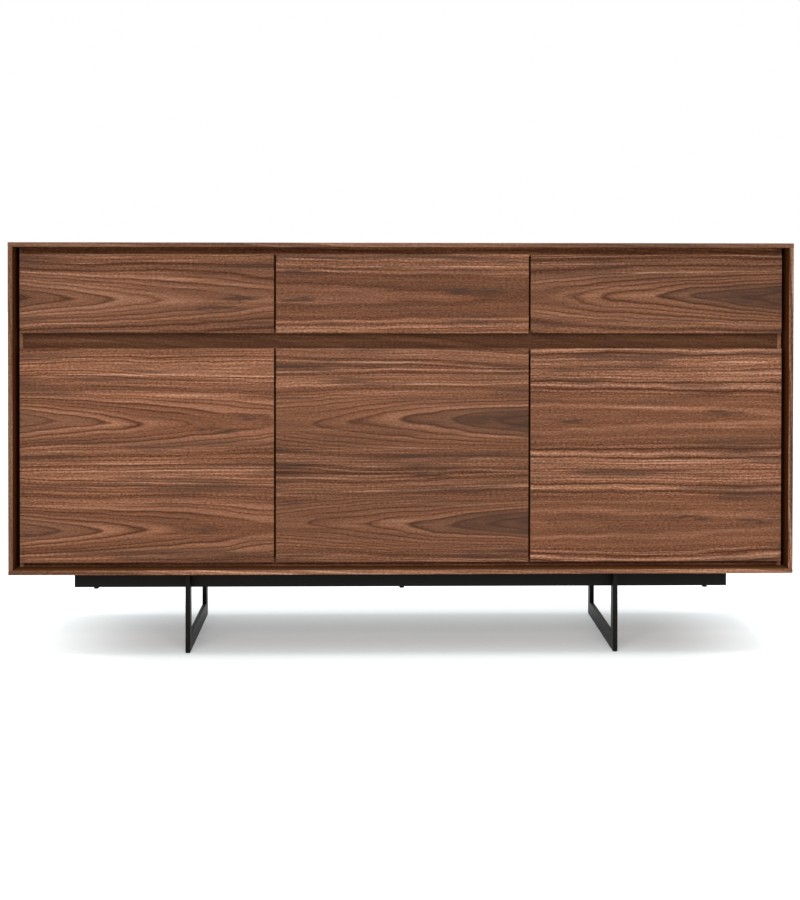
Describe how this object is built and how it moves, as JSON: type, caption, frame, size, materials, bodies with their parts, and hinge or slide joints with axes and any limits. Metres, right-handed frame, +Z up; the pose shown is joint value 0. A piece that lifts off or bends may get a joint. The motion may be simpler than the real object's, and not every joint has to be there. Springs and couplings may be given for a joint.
{
  "type": "office credenza",
  "caption": "Long walnut office credenza with a thin outer frame, handle-free drawers over cupboard doors, a recessed finger channel and a black steel base with sled legs.",
  "frame": {"origin": "on the floor under the middle of the case", "axes": "+X along the width to the right of someone facing the front, +Y towards the back, +Z up"},
  "size_m": [1.6, 0.45, 0.843],
  "materials": {
    "walnut": "satin walnut veneer, grain running along the width",
    "walnut_inside": "satin dark walnut on the inner carcass, shelves and back",
    "drawer_wood": "clear satin pale hardwood drawer boxes",
    "black_steel": "satin black powder coat",
    "plated_steel": "bright zinc-plated drawer slides"
  },
  "bodies": {
    "case": {"top_panel": "walnut", "bottom_panel": "walnut", "left_side_panel": "walnut", "right_side_panel": "walnut", "back_panel": "walnut_inside", "inner_top": "walnut_inside", "inner_bottom": "walnut_inside", "finger_rail": "walnut_inside", "left_inner_side": "walnut_inside", "left_partition": "walnut_inside", "left_shelf": "walnut_inside", "right_inner_side": "walnut_inside", "right_partition": "walnut_inside", "right_shelf": "walnut_inside", "left_leg": "black_steel", "right_leg": "black_steel", "front_base_rail": "black_steel", "rear_base_rail": "black_steel", "left_drawer_left_cabinet_slide": "plated_steel", "left_drawer_right_cabinet_slide": "plated_steel", "left_door_top_hinge_bracket": "black_steel", "left_door_bottom_hinge_bracket": "black_steel", "centre_drawer_left_cabinet_slide": "plated_steel", "centre_drawer_right_cabinet_slide": "plated_steel", "centre_door_top_hinge_bracket": "black_steel", "centre_door_bottom_hinge_bracket": "black_steel", "right_drawer_left_cabinet_slide": "plated_steel", "right_drawer_right_cabinet_slide": "plated_steel", "right_door_top_hinge_bracket": "black_steel", "right_door_bottom_hinge_bracket": "black_steel"},
    "left_drawer": {"left_drawer_front": "walnut", "left_drawer_box": "drawer_wood", "left_drawer_bottom": "drawer_wood", "left_drawer_left_drawer_slide": "plated_steel", "left_drawer_right_drawer_slide": "plated_steel"},
    "left_slide_middles": {"left_drawer_left_middle_slide": "plated_steel", "left_drawer_right_middle_slide": "plated_steel"},
    "left_door": {"left_door": "walnut", "left_door_top_hinge_socket": "black_steel", "left_door_bottom_hinge_socket": "black_steel"},
    "centre_drawer": {"centre_drawer_front": "walnut", "centre_drawer_box": "drawer_wood", "centre_drawer_bottom": "drawer_wood", "centre_drawer_left_drawer_slide": "plated_steel", "centre_drawer_right_drawer_slide": "plated_steel"},
    "centre_slide_middles": {"centre_drawer_left_middle_slide": "plated_steel", "centre_drawer_right_middle_slide": "plated_steel"},
    "centre_door": {"centre_door": "walnut", "centre_door_top_hinge_socket": "black_steel", "centre_door_bottom_hinge_socket": "black_steel"},
    "right_drawer": {"right_drawer_front": "walnut", "right_drawer_box": "drawer_wood", "right_drawer_bottom": "drawer_wood", "right_drawer_left_drawer_slide": "plated_steel", "right_drawer_right_drawer_slide": "plated_steel"},
    "right_slide_middles": {"right_drawer_left_middle_slide": "plated_steel", "right_drawer_right_middle_slide": "plated_steel"},
    "right_door": {"right_door": "walnut", "right_door_top_hinge_socket": "black_steel", "right_door_bottom_hinge_socket": "black_steel"}
  },
  "joints": [
    {"name": "left_drawer_slide", "type": "slide", "parent": "case", "child": "left_drawer", "axis": [0, -1, 0], "range_m": [0, 0.35]},
    {"name": "left_slide_middles_slide", "type": "slide", "parent": "case", "child": "left_slide_middles", "axis": [0, -1, 0], "range_m": [0, 0.175]},
    {"name": "left_door_hinge", "type": "hinge", "parent": "case", "child": "left_door", "pos_m": [-0.773, -0.195, 0.4075], "axis": [0, 0, -1], "range_deg": [0, 90]},
    {"name": "centre_drawer_slide", "type": "slide", "parent": "case", "child": "centre_drawer", "axis": [0, -1, 0], "range_m": [0, 0.35]},
    {"name": "centre_slide_middles_slide", "type": "slide", "parent": "case", "child": "centre_slide_middles", "axis": [0, -1, 0], "range_m": [0, 0.175]},
    {"name": "centre_door_hinge", "type": "hinge", "parent": "case", "child": "centre_door", "pos_m": [-0.251, -0.195, 0.4075], "axis": [0, 0, -1], "range_deg": [0, 90]},
    {"name": "right_drawer_slide", "type": "slide", "parent": "case", "child": "right_drawer", "axis": [0, -1, 0], "range_m": [0, 0.35]},
    {"name": "right_slide_middles_slide", "type": "slide", "parent": "case", "child": "right_slide_middles", "axis": [0, -1, 0], "range_m": [0, 0.175]},
    {"name": "right_door_hinge", "type": "hinge", "parent": "case", "child": "right_door", "pos_m": [0.773, -0.195, 0.4075], "axis": [0, 0, 1], "range_deg": [0, 90]}
  ],
  "couplings": [
    {"joint": "left_slide_middles_slide", "follows": "left_drawer_slide", "ratio": 0.5},
    {"joint": "centre_slide_middles_slide", "follows": "centre_drawer_slide", "ratio": 0.5},
    {"joint": "right_slide_middles_slide", "follows": "right_drawer_slide", "ratio": 0.5}
  ]
}
